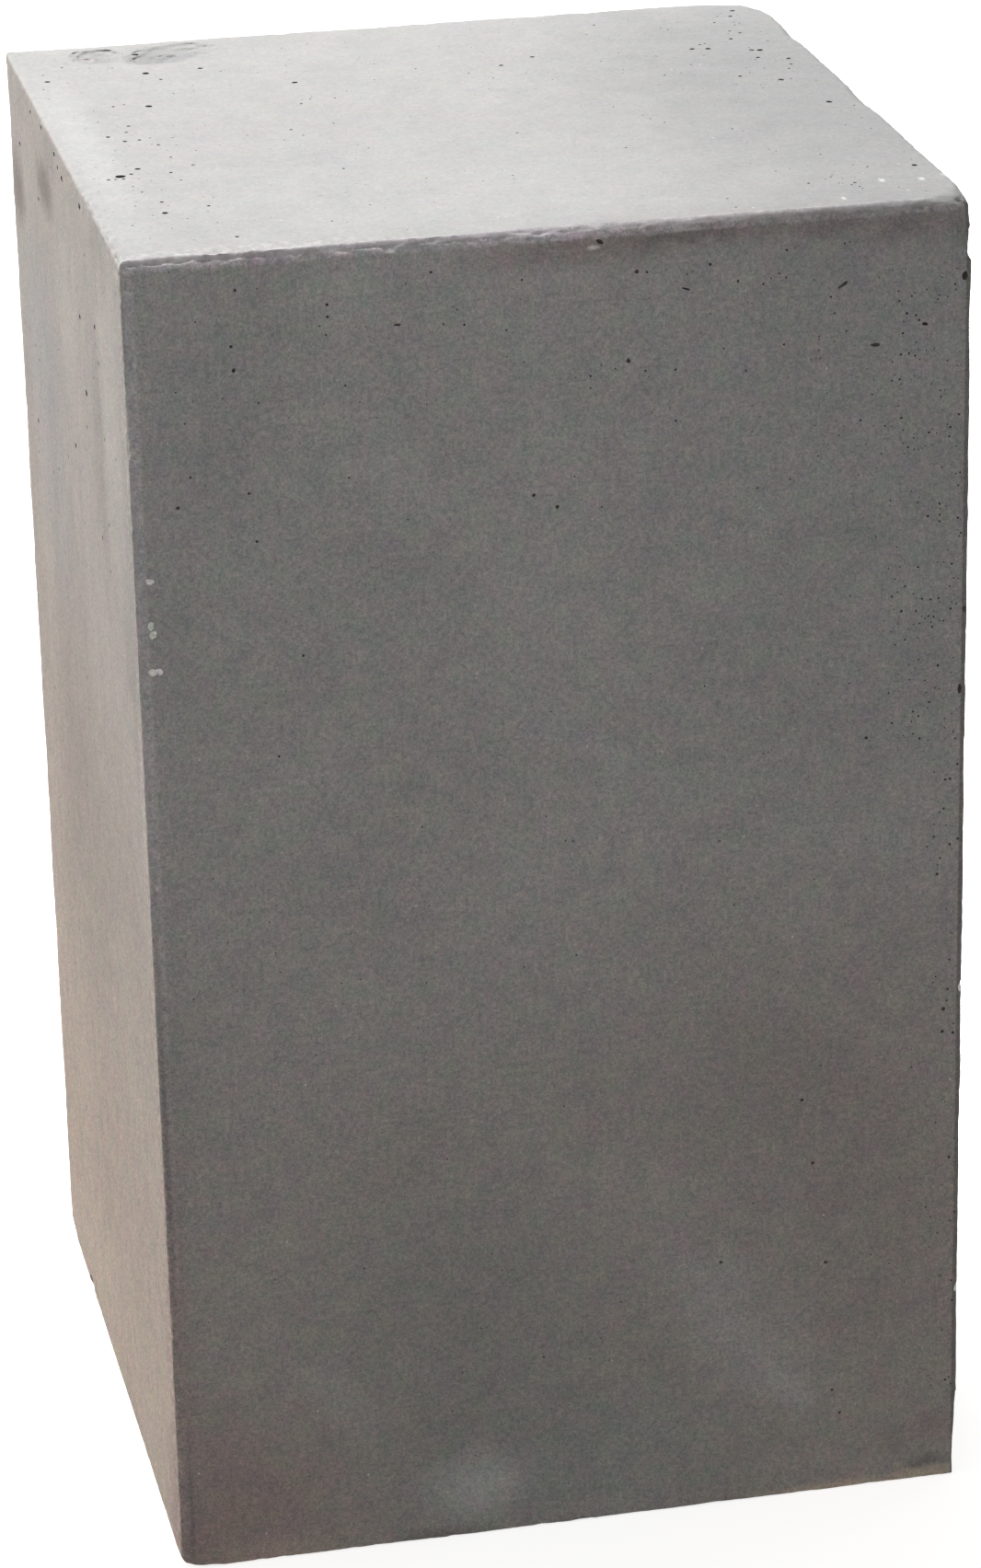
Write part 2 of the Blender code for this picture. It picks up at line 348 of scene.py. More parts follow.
# The blowholes
# Air bubbles caught against the mould left round holes in the skin, from pinholes to 4 mm.
# Most gather by the right arris of the front, under its top arris and round the top's border.
FRONT_HOLES = [
    ((0.125, 0.081), 0.0017), ((0.123, 0.064), 0.0013), ((0.130, 0.025), 0.0012),
    ((0.235, 0.040), 0.0012), ((0.356, 0.023), 0.0011), ((0.235, 0.0485), 0.0010),
    ((0.597, 0.034), 0.0015), ((0.684, 0.033), 0.0012), ((0.717, 0.0465), 0.0011),
    ((0.586, 0.097), 0.0015), ((0.642, 0.106), 0.0010), ((0.642, 0.143), 0.0009),
    ((0.471, 0.188), 0.0014), ((0.499, 0.198), 0.0014), ((0.054, 0.175), 0.0013),
    ((0.070, 0.154), 0.0010), ((0.137, 0.169), 0.0010), ((0.144, 0.204), 0.0012),
    ((0.193, 0.290), 0.0010), ((0.160, 0.363), 0.0011), ((0.874, 0.392), 0.0012),
    ((0.975, 0.611), 0.0016), ((0.795, 0.672), 0.0015), ((0.809, 0.724), 0.0014),
    ((0.974, 0.629), 0.0013), ((0.691, 0.797), 0.0012), ((0.826, 0.807), 0.0012),
    ((0.845, 0.935), 0.0013), ((0.835, 0.915), 0.0011), ((0.985, 0.732), 0.0012),
]
TOP_HOLES = [
    ((0.158, 0.835), 0.0032), ((0.229, 0.842), 0.0021), ((0.032, 0.827), 0.0026),
    ((0.137, 0.673), 0.0026), ((0.332, 0.738), 0.0022), ((0.055, 0.360), 0.0040),
    ((0.082, 0.190), 0.0024), ((0.080, 0.388), 0.0022), ((0.067, 0.542), 0.0020),
    ((0.084, 0.516), 0.0020), ((0.953, 0.946), 0.0022), ((0.873, 0.760), 0.0022),
    ((0.853, 0.764), 0.0022), ((0.925, 0.738), 0.0022), ((0.935, 0.735), 0.0026),
    ((0.952, 0.462), 0.0028), ((0.959, 0.683), 0.0022), ((0.923, 0.583), 0.0022),
    ((0.600, 0.750), 0.0018), ((0.647, 0.781), 0.0018), ((0.972, 0.153), 0.0024),
]
# Where small holes gather: face, opposite corners of the patch, how many, and the largest
HOLE_PATCHES = [
    ("front", (0.02, 0.02), (0.98, 0.12), 50, 0.0011),
    ("front", (0.90, 0.06), (0.99, 0.40), 150, 0.0012),
    ("front", (0.80, 0.04), (0.99, 0.20), 40, 0.0010),
    ("front", (0.96, 0.40), (0.995, 0.98), 60, 0.0013),
    ("front", (0.03, 0.10), (0.98, 0.98), 90, 0.0009),
    ("top", (0.02, 0.20), (0.16, 0.60), 34, 0.0016),
    ("top", (0.02, 0.05), (0.40, 0.97), 40, 0.0016),
    ("top", (0.84, 0.55), (0.97, 0.97), 42, 0.0019),
    ("top", (0.82, 0.08), (0.92, 0.14), 16, 0.0013),
    ("top", (0.02, 0.03), (0.98, 0.97), 110, 0.0012),
    ("left", (0.03, 0.02), (0.97, 0.30), 60, 0.0018),
    ("left", (0.03, 0.30), (0.97, 0.98), 50, 0.0014),
    ("right", (0.03, 0.02), (0.97, 0.98), 110, 0.0022),
    ("back", (0.03, 0.02), (0.97, 0.98), 110, 0.0022),
]
PINHOLE = 0.0006
HOLE_DEPTH_SHARE = 0.6
HOLE_GAP = 0.0003
HOLE_OVAL = (0.75, 1.2)
# A hole wider than this gets a rounder mesh
ROUNDER_HOLE = 0.0012
HOLE_SEED = 31
SHARP_ANGLE = math.radians(38)
# A face counts as flat from this share of its normal along one axis, and a rim from this angle
FLAT_SHARE = 0.99999
RIM_ANGLE = math.radians(3)


def is_flat(face):
    """Whether a mesh face lies along one of the block's flat sides."""
    return max(abs(share) for share in face.normal) > FLAT_SHARE


def keep_rims_crisp(mesh):
    """Makes the edges sharp where a flat side meets a dish or a hole, so the side shades evenly."""
    shape = bmesh.new()
    shape.from_mesh(mesh)
    for edge in shape.edges:
        beside = edge.link_faces
        if len(beside) == 2 and is_flat(beside[0]) != is_flat(beside[1]):
            edge.smooth = edge.smooth and edge.calc_face_angle() < RIM_ANGLE
    shape.to_mesh(mesh)
    shape.free()


def is_free(face, place, across):
    """Whether a hole here would stay clear of every lump placed before it."""
    here = face_frame(face, place).translation
    return all((here - there).length > across / 2 + reach + HOLE_GAP for there, reach in taken)


def add_hole(shape, face, place, across, rounds):
    """A bubble's hole, a little oval and turned any way."""
    oval = draw.uniform(*HOLE_OVAL)
    size = (across * oval, across, across * HOLE_DEPTH_SHARE)
    if is_free(face, place, max(size)):
        add_lump(shape, face, place, size, draw.uniform(0.0, math.pi), HOLE, rounds)


draw = random.Random(HOLE_SEED)
bubbles = bmesh.new()
for face, holes in (("front", FRONT_HOLES), ("top", TOP_HOLES)):
    for place, across in holes:
        add_hole(bubbles, face, place, across, rounds=2)
for face, nearest, furthest, count, largest in HOLE_PATCHES:
    for _ in range(count):
        place = [draw.uniform(a, b) for a, b in zip(nearest, furthest)]
        across = PINHOLE + (largest - PINHOLE) * draw.random() ** 2
        add_hole(bubbles, face, place, across, rounds=1 + (across > ROUNDER_HOLE))
carve(block, bubbles)
block.data.shade_smooth()
block.data.set_sharp_from_angle(angle=SHARP_ANGLE)
keep_rims_crisp(block.data)
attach(block, "root")
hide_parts("plinth")


# The concrete
# Cement and fine grey sand, bare and matt, as it left the mould. It is mottled lilac and green
# grey, with sand grains in its skin, faint rain streaks down the sides, and it is darker and browner
# towards the foot.
PASTE = (0.362, 0.356, 0.348, 1.0)
PALE_PASTE = (0.410, 0.408, 0.398, 1.0)
LILAC_PASTE = (0.335, 0.322, 0.342, 1.0)
# The worn arrises' lilac, lighter than the paste: partly their own colour, partly painted light
LILAC_SKIN_AND_LIGHT = (0.516, 0.480, 0.510, 1.0)
RUST_PASTE = (0.274, 0.210, 0.202, 1.0)
EARTH_STAIN = (0.254, 0.220, 0.206, 1.0)
MOSS_GREY = (0.246, 0.248, 0.236, 1.0)
ROSE_GREY = (0.282, 0.263, 0.252, 1.0)
COOL_GREY = (0.372, 0.382, 0.392, 1.0)
BLUE_GREY = (0.306, 0.322, 0.346, 1.0)
WINE_STAIN = (0.225, 0.158, 0.168, 1.0)
CHALKY = (0.470, 0.470, 0.466, 1.0)
FOOT_BROWN = (0.272, 0.242, 0.222, 1.0)
LEFT_FOOT_TAN = (0.410, 0.355, 0.308, 1.0)
DARKER_GREY = (0.250, 0.250, 0.252, 1.0)
PINHOLE_SHADE = (0.130, 0.120, 0.115, 1.0)
WHITE_SPECK = (0.700, 0.695, 0.680, 1.0)
HOLE_DUST_AND_SHADE = (0.120, 0.108, 0.102, 1.0)
PALE_BREAK_AND_LIGHT = (0.960, 0.950, 0.920, 1.0)
CRUST_TAN = (0.440, 0.362, 0.290, 1.0)
# Soot grey, for real smudges and also for painted shade on the front's right arris and corner
SOOT_AND_SHADE = (0.150, 0.138, 0.130, 1.0)
BLACK = (0.0, 0.0, 0.0, 1.0)
WHITE = (1.0, 1.0, 1.0, 1.0)
ROUGHNESS = 0.88
ROUGHNESS_SWING = 0.07
SHEEN = 0.3
GRIT_BUMP = 0.00014
WAVE_BUMP = 0.0003
# How fine each pattern is: patches, streaks or cells of specks to the metre
GRITS = 900.0
WAVES = 70.0
ROUGH_PATCHES = 45.0
LILAC_PATCHES = 26.0
STREAKS = 24.0
STREAK_STRETCH = (1.0, 1.0, 0.40)
CRUMBS = 240.0
HOLE_CLOUDS = 400.0
BREAK_CLOUDS = 600.0
SPECK_CELLS = 330.0
# The shares of those cells with a dark speck (painted pinhole shade) or a white speck in them, and how
# each speck fades out
DARK_SHARE = 0.12
DARK_FADE = (0.15, 0.08, 0.0, 0.65)
WHITE_SHARE = 0.009
WHITE_FADE = (0.19, 0.10, 0.0, 0.60)
# How far from a side's plane its own colours begin and are full
SIDE_BLEND = (0.003, 0.001)
STREAK_BLEND = (0.004, 0.001)
# Ramps: from where to where, and from which strength to which
LILAC_RAMP = (0.48, 0.68, 0.0, 0.36)
FOOT_TONE_BY_HEIGHT = (0.44, 0.0, 0.0, 0.80)
STREAK_RAMP = (0.42, 0.62)
STREAKS_BY_HEIGHT = (0.05, 0.48, 0.24, 0.36)
STREAKS_ELSEWHERE = 0.08
# How far the colour of the front's worn arrises reaches in from the other side, and from the front; on
# the right arris that colour is painted shade
TOP_BAND = (0.0040, 0.0040)
LEFT_BAND = (0.0042, 0.0016)
RIGHT_SHADE_BAND = (0.0024, 0.0060)
# How strong those colours are along each arris, and how crumbs break up the upper one
TOP_BAND_ALONG = (0.02, 0.09, 0.92, 0.36)
TOP_BAND_CRUMBS = (0.38, 0.56, 0.45, 1.0)
LEFT_BAND_BY_HEIGHT = (0.10, 0.40, 0.05, 0.45)
RIGHT_SHADE_STRENGTH = 0.80
# The pale crumbs behind the front's top arris: their shape, where they lie, and how strong they are
FRINGE_CRUMBS = (0.46, 0.60)
FRINGE_BACK = (0.014, 0.006)
FRINGE_FRONT = (0.0026, 0.0040)
FRINGE_ALONG = (-0.03, -0.09, 0.0, 0.22)
# Mottling: patches to the metre, detail, roughness, and how far light and hue swing
MOTTLES = [
    (12.0, 3.0, 0.60, 0.28, 0.0),
    (100.0, 3.0, 0.80, 0.35, 0.38),
    (480.0, 1.0, 0.60, 0.60, 0.10),
    (1100.0, 2.0, 0.85, 1.38, 0.0),
]
# How strong that mottling is up the left side, and on the top
LEFT_MOTTLING = (0.40, 0.10, 0.80, 1.20)
TOP_MOTTLING = 0.32
# Marks that can be told apart: middle, reach, turn about Y in degrees, colour and strength
MARKS = [
    # Front: damp stains, a pale cloud, rust and crust along the foot
    ((-0.052, -0.150, 0.001), (0.026, 0.007, 0.0065), 0, SOOT_AND_SHADE, 0.95),
    ((0.020, -0.150, 0.000), (0.080, 0.020, 0.003), 0, SOOT_AND_SHADE, 0.60),
    ((-0.140, -0.150, 0.008), (0.080, 0.040, 0.080), 0, RUST_PASTE, 0.85),
    ((-0.150, -0.150, 0.100), (0.010, 0.020, 0.160), 0, RUST_PASTE, 0.50),
    ((-0.1458, -0.150, 0.020), (0.0014, 0.007, 0.060), 0, SOOT_AND_SHADE, 0.55),
    ((-0.120, -0.150, 0.002), (0.045, 0.020, 0.014), 0, CRUST_TAN, 0.25),
    ((0.138, -0.150, 0.0075), (0.016, 0.020, 0.0036), 0, SOOT_AND_SHADE, 0.55),
    ((0.139, -0.150, 0.0020), (0.022, 0.007, 0.0046), 0, CRUST_TAN, 0.95),
    ((0.105, -0.150, 0.0010), (0.046, 0.007, 0.0038), 0, CRUST_TAN, 0.80),
    ((0.124, -0.150, 0.0175), (0.012, 0.020, 0.009), 0, WINE_STAIN, 0.35),
    ((0.141, -0.150, 0.0240), (0.012, 0.020, 0.009), 0, WINE_STAIN, 0.35),
    ((0.076, -0.150, 0.200), (0.105, 0.040, 0.090), 0, EARTH_STAIN, 0.50),
    ((0.125, -0.150, 0.130), (0.060, 0.040, 0.110), 0, EARTH_STAIN, 0.46),
    ((-0.040, -0.150, 0.095), (0.095, 0.040, 0.080), 0, MOSS_GREY, 0.58),
    ((-0.002, -0.150, 0.026), (0.105, 0.040, 0.062), 0, MOSS_GREY, 0.92),
    ((-0.038, -0.150, 0.022), (0.030, 0.020, 0.022), 0, PALE_PASTE, 0.72),
    ((-0.1486, -0.150, 0.190), (0.0020, 0.006, 0.180), 0, SOOT_AND_SHADE, 0.60),
    # Front: pale smears and wipe lines, which run down to the right
    ((0.062, -0.150, 0.080), (0.066, 0.040, 0.028), 50, COOL_GREY, 0.30),
    ((0.083, -0.150, 0.046), (0.024, 0.020, 0.009), 50, PALE_PASTE, 0.35),
    ((0.009, -0.150, 0.317), (0.080, 0.020, 0.009), 32, COOL_GREY, 0.30),
    ((0.105, -0.150, 0.269), (0.045, 0.020, 0.008), 17, COOL_GREY, 0.26),
    ((-0.088, -0.150, 0.064), (0.034, 0.020, 0.013), 50, PALE_PASTE, 0.20),
    ((-0.061, -0.150, 0.429), (0.024, 0.020, 0.022), 0, PALE_PASTE, 0.45),
    ((-0.070, -0.150, 0.487), (0.022, 0.020, 0.020), 0, PALE_PASTE, 0.45),
    ((0.030, -0.150, 0.250), (0.150, 0.040, 0.110), 0, PALE_PASTE, 0.22),
    ((-0.116, -0.150, 0.450), (0.035, 0.034, 0.065), 0, DARKER_GREY, 0.28),
    # Front: rust under the top arris, a dark line just under it, and painted shade on the worn right
    # corner
    ((0.010, -0.150, 0.497), (0.060, 0.020, 0.009), 0, RUST_PASTE, 0.60),
    ((0.070, -0.150, 0.500), (0.080, 0.020, 0.008), 0, RUST_PASTE, 0.60),
    ((0.125, -0.150, 0.497), (0.040, 0.020, 0.010), 0, RUST_PASTE, 0.60),
    ((0.098, -0.150, 0.498), (0.016, 0.020, 0.006), 0, WINE_STAIN, 0.60),
    ((0.127, -0.150, 0.497), (0.014, 0.020, 0.007), 0, WINE_STAIN, 0.80),
    ((0.058, -0.150, 0.500), (0.018, 0.020, 0.005), 0, WINE_STAIN, 0.50),
    ((0.044, -0.150, 0.4995), (0.028, 0.020, 0.0035), 0, SOOT_AND_SHADE, 0.60),
    # Painted shade on the worn front right corner.
    ((0.147, -0.150, 0.495), (0.012, 0.020, 0.014), 0, SOOT_AND_SHADE, 0.60),
    ((0.0137, -0.150, 0.4975), (0.0034, 0.004, 0.0014), 0, WHITE_SPECK, 0.80),
    ((0.135, -0.150, 0.430), (0.150, 0.040, 0.240), 0, DARKER_GREY, 0.42),
    # Left side: two sooty smudges, cool above, rosy in the middle
    ((-0.150, 0.046, 0.478), (0.020, 0.034, 0.015), 0, SOOT_AND_SHADE, 0.72),
    ((-0.150, 0.129, 0.456), (0.020, 0.030, 0.022), 0, SOOT_AND_SHADE, 0.70),
    ((-0.150, 0.080, 0.405), (0.040, 0.090, 0.070), 0, BLUE_GREY, 0.60),
    ((-0.150, 0.060, 0.345), (0.040, 0.070, 0.050), 0, BLUE_GREY, 0.45),
    ((-0.150, -0.115, 0.430), (0.040, 0.040, 0.100), 0, CHALKY, 0.60),
    ((-0.150, 0.000, 0.450), (0.040, 0.060, 0.050), 0, CHALKY, 0.30),
    ((-0.150, 0.020, 0.230), (0.040, 0.200, 0.130), 0, ROSE_GREY, 0.66),
    ((-0.150, 0.000, 0.105), (0.040, 0.220, 0.075), 0, EARTH_STAIN, 0.22),
    # Top: darker to the right, chalky to the left, darker where it has spalled
    ((0.135, 0.000, 0.505), (0.130, 0.260, 0.030), 0, DARKER_GREY, 0.72),
    ((0.125, 0.100, 0.505), (0.080, 0.080, 0.030), 0, DARKER_GREY, 0.25),
    ((-0.040, -0.100, 0.505), (0.170, 0.080, 0.030), 0, CHALKY, 0.22),
    ((-0.140, -0.010, 0.505), (0.014, 0.150, 0.010), 0, CHALKY, 0.45),
    ((-0.088, 0.128, 0.505), (0.024, 0.020, 0.010), 0, DARKER_GREY, 0.60),
    ((-0.099, 0.124, 0.505), (0.017, 0.012, 0.010), 0, DARKER_GREY, 0.65),
    ((-0.117, 0.129, 0.505), (0.012, 0.014, 0.010), 0, DARKER_GREY, 0.70),
    ((-0.119, 0.132, 0.505), (0.0020, 0.0035, 0.004), 0, WHITE_SPECK, 0.30),
    ((0.125, -0.120, 0.505), (0.0017, 0.0035, 0.004), 0, WHITE_SPECK, 0.65),
    ((0.139, -0.122, 0.505), (0.0018, 0.0030, 0.004), 0, WHITE_SPECK, 0.60),
    ((0.106, -0.139, 0.505), (0.0012, 0.0026, 0.004), 0, WHITE_SPECK, 0.60),
    ((0.149, -0.118, 0.505), (0.0030, 0.0035, 0.004), 0, WHITE_SPECK, 0.50),
    ((-0.128, -0.147, 0.504), (0.006, 0.004, 0.004), 0, WHITE_SPECK, 0.70),
]
# How the edges of marks wander: patches to the metre and how far, for small and for broad marks;
# tiny marks keep their shape
TINY_MARK = 0.008
SMALL_MARK = 0.031
SMALL_WANDER = (130.0, 0.009)
BROAD_WANDER = (45.0, 0.030)


def add_node(tree, kind, inputs, **settings):
    """A node with these settings, fed by plain values or by other nodes' outputs."""
    made = tree.nodes.new(kind)
    for name, value in settings.items():
        setattr(made, name, value)
    for socket, value in inputs.items():
        if isinstance(value, bpy.types.NodeSocket):
            tree.links.new(value, made.inputs[socket])
        else:
            made.inputs[socket].default_value = value
    return made


def tint(tree, colour, other, share):
    """One colour turned towards another."""
    inputs = {0: share, 6: colour, 7: other}
    return add_node(tree, "ShaderNodeMix", inputs, data_type="RGBA").outputs[2]


def ramp(tree, value, start, end, least=0.0, most=1.0):
    """Turns start to end into least to most, smoothly and no further."""
    inputs = {0: value, 1: start, 2: end, 3: least, 4: most}
    return add_node(tree, "ShaderNodeMapRange", inputs, interpolation_type="SMOOTHSTEP").outputs[0]


def reckon(tree, how, first, second):
    """One sum on two values."""
    return add_node(tree, "ShaderNodeMath", {0: first, 1: second}, operation=how).outputs[0]


def reckon_place(tree, how, first, second):
    """One sum on two places."""
    return add_node(tree, "ShaderNodeVectorMath", {0: first, 1: second}, operation=how).outputs[0]


def cloud(tree, place, per_metre, detail=3.0, rough=0.55, stretch=None, output=0):
    """Soft patches, about this many to the metre; output 1 gives them in colours."""
    laid = reckon_place(tree, "MULTIPLY", place, stretch) if stretch else place
    inputs = {"Vector": laid, "Scale": per_metre, "Detail": detail, "Roughness": rough}
    return add_node(tree, "ShaderNodeTexNoise", inputs).outputs[output]


def wandering(tree, place, per_metre, reach):
    """Places shifted here and there, which gives marks their uneven edges."""
    shift = cloud(tree, place, per_metre, detail=2.0, rough=0.6, output=1)
    shift = reckon_place(tree, "SUBTRACT", shift, (0.5, 0.5, 0.5))
    return reckon_place(tree, "ADD", place, reckon_place(tree, "MULTIPLY", shift, (reach, reach, reach)))


def add_mark(tree, colour, laid, mark):
    """A local mark, whose edge is uneven where the laid places wander."""
    middle, reach, turn, mark_colour, strength = mark
    ball = add_node(tree, "ShaderNodeTexGradient", {0: laid}, gradient_type="SPHERICAL")
    ball.texture_mapping.vector_type = "TEXTURE"
    ball.texture_mapping.translation = middle
    ball.texture_mapping.rotation.y = math.radians(turn)
    ball.texture_mapping.scale = reach
    return tint(tree, colour, mark_colour, ramp(tree, ball.outputs[1], 0.0, 0.9, 0.0, strength))


def mottled(tree, colour, place, calm, mottle):
    """A colour that swings lighter, darker and in hue over patches of one size."""
    per_metre, detail, rough, light, hue = mottle
    laid = {"Vector": place, "Scale": per_metre, "Detail": detail, "Roughness": rough}
    patches = add_node(tree, "ShaderNodeTexNoise", laid)
    swing = reckon_place(tree, "SUBTRACT", patches.outputs[0], (0.5, 0.5, 0.5))
    swing = reckon_place(tree, "MULTIPLY", swing, (light, light, light))
    if hue:
        tinted = reckon_place(tree, "SUBTRACT", patches.outputs[1], (0.5, 0.5, 0.5))
        tinted = reckon_place(tree, "MULTIPLY", tinted, (hue, hue, 0.5 * hue))
        swing = reckon_place(tree, "ADD", swing, tinted)
    swing = reckon_place(tree, "MULTIPLY", swing, calm)
    swing = reckon_place(tree, "ADD", swing, (1.0, 1.0, 1.0))
    return reckon_place(tree, "MULTIPLY", colour, swing)


def streaked(tree, colour, place):
    """Grey streaks that rain drew down the left side, and fainter ones elsewhere."""
    x, _, height = add_node(tree, "ShaderNodeSeparateXYZ", {0: place}).outputs
    outer, inner = STREAK_BLEND
    left_side = ramp(tree, x, low.x + outer, low.x + inner, STREAKS_ELSEWHERE, 1.0)
    top_side = ramp(tree, height, high.z - outer, high.z - inner, 1.0, 0.0)
    streaky = reckon(tree, "MULTIPLY", left_side, top_side)
    streaks = cloud(tree, place, STREAKS, detail=1.0, rough=0.5, stretch=STREAK_STRETCH)
    stronger_above = ramp(tree, height, *STREAKS_BY_HEIGHT)
    streaks = reckon(tree, "MULTIPLY", ramp(tree, streaks, *STREAK_RAMP), stronger_above)
    return tint(tree, colour, DARKER_GREY, reckon(tree, "MULTIPLY", streaky, streaks))


def arris_band(tree, side_gap, front_gap, band):
    """1 on the strip worn off an arris of the front, from the gaps to both sides that meet there."""
    side_share = reckon(tree, "DIVIDE", side_gap, band[0])
    front_share = reckon(tree, "DIVIDE", front_gap, band[1])
    return ramp(tree, reckon(tree, "MAXIMUM", side_share, front_share), 1.20, 0.85)


def arris_colours_light_and_shade(tree, colour, place):
    """A colour with the front's arrises: lilac above and on the left, lightened there as painted light,
    and painted shade on the right.
    """
    x, y, height = add_node(tree, "ShaderNodeSeparateXYZ", {0: place}).outputs
    crumbs = cloud(tree, place, CRUMBS, detail=4.0, rough=0.7)
    front_gap = reckon(tree, "SUBTRACT", y, low.y)
    # Lilac strips on the top and left arrises, lighter than the paste: partly their own colour, partly
    # painted light.
    above = arris_band(tree, reckon(tree, "SUBTRACT", high.z, height), front_gap, TOP_BAND)
    above = reckon(tree, "MULTIPLY", above, ramp(tree, x, *TOP_BAND_ALONG))
    above = reckon(tree, "MULTIPLY", above, ramp(tree, crumbs, *TOP_BAND_CRUMBS))
    colour = tint(tree, colour, LILAC_SKIN_AND_LIGHT, above)
    left = arris_band(tree, reckon(tree, "SUBTRACT", x, low.x), front_gap, LEFT_BAND)
    left = reckon(tree, "MULTIPLY", left, ramp(tree, height, *LEFT_BAND_BY_HEIGHT))
    colour = tint(tree, colour, LILAC_SKIN_AND_LIGHT, left)
    # Painted shade: the front's right arris is darkened towards soot grey.
    right = arris_band(tree, reckon(tree, "SUBTRACT", high.x, x), front_gap, RIGHT_SHADE_BAND)
    colour = tint(tree, colour, SOOT_AND_SHADE, reckon(tree, "MULTIPLY", right, RIGHT_SHADE_STRENGTH))
    fringe = ramp(tree, crumbs, *FRINGE_CRUMBS)
    fringe = reckon(tree, "MULTIPLY", fringe, ramp(tree, front_gap, *FRINGE_BACK))
    fringe = reckon(tree, "MULTIPLY", fringe, ramp(tree, front_gap, *FRINGE_FRONT))
    fringe = reckon(tree, "MULTIPLY", fringe, ramp(tree, x, *FRINGE_ALONG))
    return tint(tree, colour, WHITE_SPECK, fringe)


def skin_colour(tree, place):
    """The colour of the cast skin, with its streaks, darker foot, marks, and worn arrises with painted
    light and shade.
    """
    x, _, height = add_node(tree, "ShaderNodeSeparateXYZ", {0: place}).outputs
    lilac = cloud(tree, place, LILAC_PATCHES, detail=4.0, rough=0.65)
    colour = tint(tree, PASTE, LILAC_PASTE, ramp(tree, lilac, *LILAC_RAMP))
    colour = streaked(tree, colour, place)
    outer, inner = SIDE_BLEND
    # Darker and browner towards the foot; warmer and paler on the left side.
    foot_tone = tint(tree, FOOT_BROWN, LEFT_FOOT_TAN, ramp(tree, x, low.x + outer, low.x + inner))
    colour = tint(tree, colour, foot_tone, ramp(tree, height, *FOOT_TONE_BY_HEIGHT))
    small = wandering(tree, place, *SMALL_WANDER)
    broad = wandering(tree, place, *BROAD_WANDER)
    for mark in MARKS:
        across = sorted(mark[1])[1]
        laid = place if across < TINY_MARK else small if across < SMALL_MARK else broad
        colour = add_mark(tree, colour, laid, mark)
    return arris_colours_light_and_shade(tree, colour, place)


def hole_colour(tree, place):
    """Dark inside of a bubble: partly dust, partly painted shade."""
    patches = cloud(tree, place, HOLE_CLOUDS)
    return tint(tree, HOLE_DUST_AND_SHADE, FOOT_BROWN, ramp(tree, patches, 0.4, 0.8, 0.0, 0.4))


def broken_colour(tree, place):
    """Fresh pale break, made whiter still with painted light, with patches of the grey of the skin."""
    patches = cloud(tree, place, BREAK_CLOUDS)
    return tint(tree, PALE_BREAK_AND_LIGHT, PASTE, ramp(tree, patches, 0.55, 0.85))


def specked(tree, place, colour):
    """Dark specks as painted shade of pinholes, and white grains of sand, over a colour."""
    cells = add_node(tree, "ShaderNodeTexVoronoi", {"Vector": place, "Scale": SPECK_CELLS})
    drawn = add_node(tree, "ShaderNodeSeparateColor", {0: cells.outputs["Color"]}).outputs[0]
    dark = ramp(tree, cells.outputs["Distance"], *DARK_FADE)
    dark = reckon(tree, "MULTIPLY", dark, reckon(tree, "LESS_THAN", drawn, DARK_SHARE))
    colour = tint(tree, colour, PINHOLE_SHADE, dark)
    white = ramp(tree, cells.outputs["Distance"], *WHITE_FADE)
    white = reckon(tree, "MULTIPLY", white, reckon(tree, "GREATER_THAN", drawn, 1.0 - WHITE_SHARE))
    return tint(tree, colour, WHITE_SPECK, white)


def mottling(tree, place):
    """How strong the mottling is: full on the sides, weaker high on the left and on the rubbed top."""
    x, _, height = add_node(tree, "ShaderNodeSeparateXYZ", {0: place}).outputs
    outer, inner = SIDE_BLEND
    up_left = ramp(tree, height, *LEFT_MOTTLING)
    left = ramp(tree, x, low.x + outer, low.x + inner, 1.0, up_left)
    top = ramp(tree, height, high.z - outer, high.z - inner, 1.0, TOP_MOTTLING)
    return reckon(tree, "MULTIPLY", left, top)


def finish_concrete(name, colour_of, grit, wave):
    """A matt concrete surface; grit and wave are the heights of its fine and broad relief."""
    material = bpy.data.materials[name]
    material.use_nodes = True
    tree = material.node_tree
    place = tree.nodes.new("ShaderNodeTexCoord").outputs["Object"]
    calm = mottling(tree, place)
    shader = tree.nodes["Principled BSDF"]
    colour = colour_of(tree, place)
    for mottle in MOTTLES:
        colour = mottled(tree, colour, place, calm, mottle)
    colour = specked(tree, place, colour)
    tree.links.new(colour, shader.inputs["Base Color"])
    rough = cloud(tree, place, ROUGH_PATCHES)
    rough = ramp(tree, rough, 0.3, 0.7, ROUGHNESS - ROUGHNESS_SWING, ROUGHNESS + ROUGHNESS_SWING)
    tree.links.new(rough, shader.inputs["Roughness"])
    shader.inputs["Specular IOR Level"].default_value = SHEEN
    inputs = {"Height": cloud(tree, place, WAVES), "Distance": wave}
    waves = add_node(tree, "ShaderNodeBump", inputs).outputs[0]
    grains = cloud(tree, place, GRITS, detail=3.0, rough=0.6)
    inputs = {"Height": grains, "Distance": grit, "Normal": waves}
    tree.links.new(add_node(tree, "ShaderNodeBump", inputs).outputs[0], shader.inputs["Normal"])


finish_concrete("skin", skin_colour, GRIT_BUMP, WAVE_BUMP)
# The holes' finish is darkened partly as painted shade inside them.
finish_concrete("hole", hole_colour, GRIT_BUMP, GRIT_BUMP)
finish_concrete("broken", broken_colour, 2 * GRIT_BUMP, WAVE_BUMP)


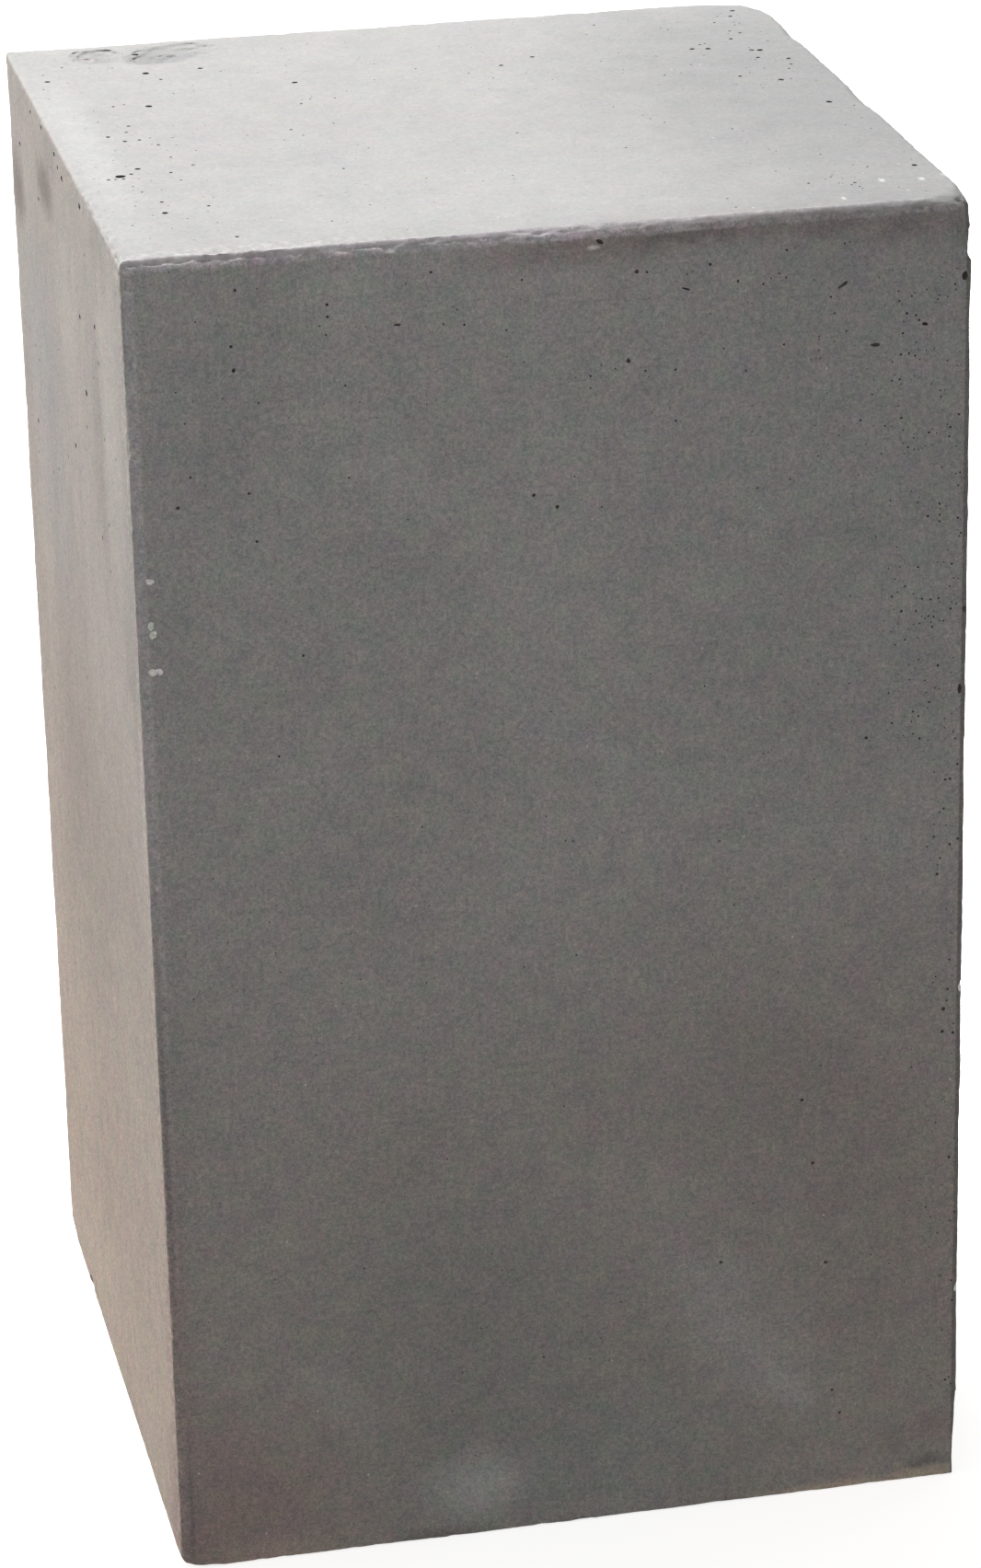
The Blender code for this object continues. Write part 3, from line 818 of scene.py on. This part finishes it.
# The studio
# A pale floor under a soft light from above and behind, which leaves the front in shade as in
# the photograph, with a weak warm light on the left side.
FLOOR_REACH = 6.0
DOME_RADIUS = 14.0
FLOOR_DROP = 0.0002
FLOOR_GREY = (0.80, 0.80, 0.80, 1.0)
FLOOR_GLOW = 0.72
BACKDROP_GLOW = 1.0
SKY_COLOUR = (1.0, 0.985, 0.965, 1.0)
SKY_STRENGTH = 0.43


def plain_shade(name, colour, glow):
    """A plain matt surface that also glows a little, so that shadows on it stay pale."""
    material = bpy.data.materials.new(name)
    material.use_nodes = True
    shader = material.node_tree.nodes["Principled BSDF"]
    shader.inputs["Base Color"].default_value = colour
    shader.inputs["Roughness"].default_value = 0.9
    shader.inputs["Specular IOR Level"].default_value = 0.0
    shader.inputs["Emission Color"].default_value = WHITE
    shader.inputs["Emission Strength"].default_value = glow
    return material


def add_backing(name, shape, material):
    """A thing of the studio, which lights nothing on the block."""
    mesh = bpy.data.meshes.new(name)
    shape.to_mesh(mesh)
    shape.free()
    mesh.materials.append(material)
    backing = bpy.data.objects.new(name, mesh)
    bpy.context.scene.collection.objects.link(backing)
    backing.visible_diffuse = False
    backing.visible_glossy = False
    backing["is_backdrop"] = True
    return backing


def add_soft_light(name, spot, aim, across, watts, colour):
    """A square soft light at one spot that faces another."""
    data = bpy.data.lights.new(name, "AREA")
    data.size = across
    data.energy = watts
    data.color = colour
    light = bpy.data.objects.new(name, data)
    light.location = spot
    light.rotation_euler = (Vector(aim) - Vector(spot)).to_track_quat("-Z", "Y").to_euler()
    bpy.context.scene.collection.objects.link(light)


floor_shape = bmesh.new()
bmesh.ops.create_grid(floor_shape, x_segments=1, y_segments=1, size=FLOOR_REACH)
bmesh.ops.translate(floor_shape, vec=(0, 0, low.z - FLOOR_DROP), verts=floor_shape.verts)
add_backing("floor", floor_shape, plain_shade("floor", FLOOR_GREY, FLOOR_GLOW))

dome_shape = bmesh.new()
bmesh.ops.create_icosphere(dome_shape, subdivisions=4, radius=DOME_RADIUS)
bmesh.ops.reverse_faces(dome_shape, faces=dome_shape.faces)
backdrop = add_backing("backdrop", dome_shape, plain_shade("backdrop", BLACK, BACKDROP_GLOW))
backdrop.visible_shadow = False

add_soft_light("overhead", (-0.65, 1.80, 2.70), (0.0, 0.0, 0.45), 1.4, 158.0, (0.995, 1.0, 1.003))
add_soft_light("left_side", (-1.35, 1.00, 0.12), (-0.15, 0.0, 0.14), 0.8, 19.0, (1.0, 0.80, 0.66))
sky = bpy.data.worlds.new("sky")
sky.use_nodes = True
sky.node_tree.nodes["Background"].inputs["Color"].default_value = SKY_COLOUR
sky.node_tree.nodes["Background"].inputs["Strength"].default_value = SKY_STRENGTH
bpy.context.scene.world = sky
bpy.context.scene.view_settings.view_transform = "Standard"


# The camera
# It stands where the photograph was taken, just over 2 m off and above the block, to its left.
lens = bpy.data.cameras.new("camera")
lens.lens = 125.15
lens.shift_x = -0.06
lens.shift_y = 0.08
camera = bpy.data.objects.new("camera", lens)
camera.location = (-0.3871, -1.9153, 1.0233)
camera.rotation_euler = [math.radians(turn) for turn in (66.883, 0.806, -12.936)]
bpy.context.scene.collection.objects.link(camera)
bpy.context.scene.camera = camera

size = {"cad": [list(cad_low), list(cad_high)], "visual": [list(end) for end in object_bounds()]}
